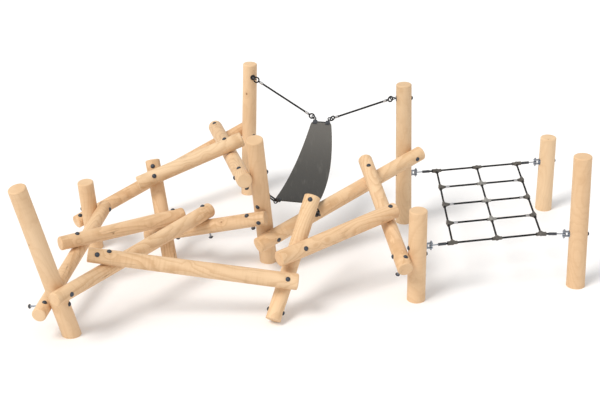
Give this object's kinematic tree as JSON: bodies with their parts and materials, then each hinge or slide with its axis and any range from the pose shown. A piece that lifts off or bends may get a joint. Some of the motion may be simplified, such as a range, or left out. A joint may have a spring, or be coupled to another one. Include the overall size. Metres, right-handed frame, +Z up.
{
  "type": "log climbing course",
  "caption": "Climbing course of crossed round logs bolted together, with a square rope net strung between posts and a rubber belt hung between two tall posts.",
  "frame": {"origin": "on the ground under the middle of the whole object's bounding box", "axes": "+X to the right along the longest side, from the log pile to the net; +Y to the back; +Z up"},
  "size_m": [4.7134, 3.2844, 1.4297],
  "materials": {
    "post_wood": "smooth planed and turned softwood, pale tan",
    "rail_wood": "peeled softwood with visible grain and knots",
    "steel": "zinc plated steel, satin",
    "cap_plastic": "moulded dark grey nylon",
    "rope": "black braided polyester over steel strands",
    "connector": "moulded dark grey nylon",
    "cross": "moulded grey nylon",
    "ferrule": "pressed aluminium, satin",
    "sleeve": "black coated steel",
    "belt_rubber": "dark grey conveyor rubber"
  },
  "bodies": {
    "frame": {"tall_post_front": "post_wood", "short_post_left": "post_wood", "middle_post": "post_wood", "belt_post_left": "post_wood", "belt_post_right": "post_wood", "net_post_front_left": "post_wood", "net_post_back_right": "post_wood", "net_post_front_right": "post_wood", "leaning_leg_back": "rail_wood", "leaning_leg_front": "rail_wood", "main_beam": "rail_wood", "back_beam": "rail_wood", "ground_beam": "rail_wood", "slide_beam": "rail_wood", "crossing_beam": "rail_wood", "low_rail": "rail_wood", "upper_rail": "rail_wood", "long_beam": "rail_wood", "stacked_rail": "rail_wood", "brace_rail": "rail_wood", "bowed_rail": "rail_wood", "tie_rods": "steel", "rod_washers": "steel", "rod_nuts": "steel", "rod_caps": "cap_plastic", "net_forks": "steel", "net_fork_pins": "steel", "net_fork_pin_nuts": "steel", "belt_eye_bolts": "steel", "belt_link_left": "rope", "belt_link_right": "rope"},
    "net": {"net_rope_left": "rope", "net_rope_centre": "rope", "net_rope_right": "rope", "net_cross_ropes": "rope", "net_tees": "connector", "net_crosses": "cross", "net_corner_pieces": "connector", "net_ferrules": "ferrule"},
    "tether_back_left": {"tether_eye_back_left": "steel", "tether_rope_back_left": "rope", "tether_sleeve_back_left": "sleeve"},
    "tether_back_right": {"tether_eye_back_right": "steel", "tether_rope_back_right": "rope", "tether_sleeve_back_right": "sleeve"},
    "tether_front_left": {"tether_eye_front_left": "steel", "tether_rope_front_left": "rope", "tether_sleeve_front_left": "sleeve"},
    "tether_front_right": {"tether_eye_front_right": "steel", "tether_rope_front_right": "rope", "tether_sleeve_front_right": "sleeve"},
    "belt": {"belt_mat": "belt_rubber", "belt_clamps": "steel", "belt_rivets": "steel"},
    "belt_rope_left": {"belt_rope_left": "rope", "belt_rope_left_ferrules": "ferrule"},
    "belt_rope_right": {"belt_rope_right": "rope", "belt_rope_right_ferrules": "ferrule"}
  },
  "joints": [
    {"name": "net_give", "type": "slide", "parent": "frame", "child": "net", "axis": [0, 0, 1], "range_m": [-0.03, 0.01], "stiffness_N_per_m": 6000, "springref_m": 0.0061},
    {"name": "tether_swing_back_left", "type": "hinge", "parent": "frame", "child": "tether_back_left", "pos_m": [0.96128, 0.79959, 0.5], "axis": [0.1759, -0.9844, 0], "range_deg": [-12.5, 4.5]},
    {"name": "tether_swing_back_right", "type": "hinge", "parent": "frame", "child": "tether_back_right", "pos_m": [2.12267, 1.04466, 0.5], "axis": [-0.2041, 0.9789, 0], "range_deg": [-12.5, 4.5]},
    {"name": "tether_swing_front_left", "type": "hinge", "parent": "frame", "child": "tether_front_left", "pos_m": [0.97675, -0.72405, 0.5], "axis": [0.248, -0.9687, 0], "range_deg": [-12.5, 4.5]},
    {"name": "tether_swing_front_right", "type": "hinge", "parent": "frame", "child": "tether_front_right", "pos_m": [2.13747, -0.50401, 0.5], "axis": [-0.0082, 1, 0], "range_deg": [-12.5, 4.5]},
    {"name": "belt_give", "type": "hinge", "parent": "frame", "child": "belt", "pos_m": [-0.17344, -0.06601, 0.57784], "axis": [0.9833, -0.1529, -0.0989], "range_deg": [-0.6, 0.2], "stiffness_Nm_per_rad": 3000, "springref_deg": 0.68},
    {"name": "belt_rope_swing_left", "type": "hinge", "parent": "frame", "child": "belt_rope_left", "pos_m": [-0.56495, 1.34275, 1.23881], "axis": [-0.4546, -0.8596, -0.2334], "range_deg": [-1.2, 0.6]},
    {"name": "belt_rope_swing_right", "type": "hinge", "parent": "frame", "child": "belt_rope_right", "pos_m": [0.72151, 0.779, 1.25211], "axis": [0.3346, 0.903, 0.2695], "range_deg": [-1.2, 0.6]}
  ],
  "couplings": [
    {"joint": "tether_swing_back_left", "follows": "net_give", "rad_per_m": 5.991},
    {"joint": "tether_swing_back_right", "follows": "net_give", "rad_per_m": 6.6836},
    {"joint": "tether_swing_front_left", "follows": "net_give", "rad_per_m": 6.4826},
    {"joint": "tether_swing_front_right", "follows": "net_give", "rad_per_m": 6.2314},
    {"joint": "belt_rope_swing_left", "follows": "belt_give", "ratio": 1.7487},
    {"joint": "belt_rope_swing_right", "follows": "belt_give", "ratio": 1.384}
  ]
}
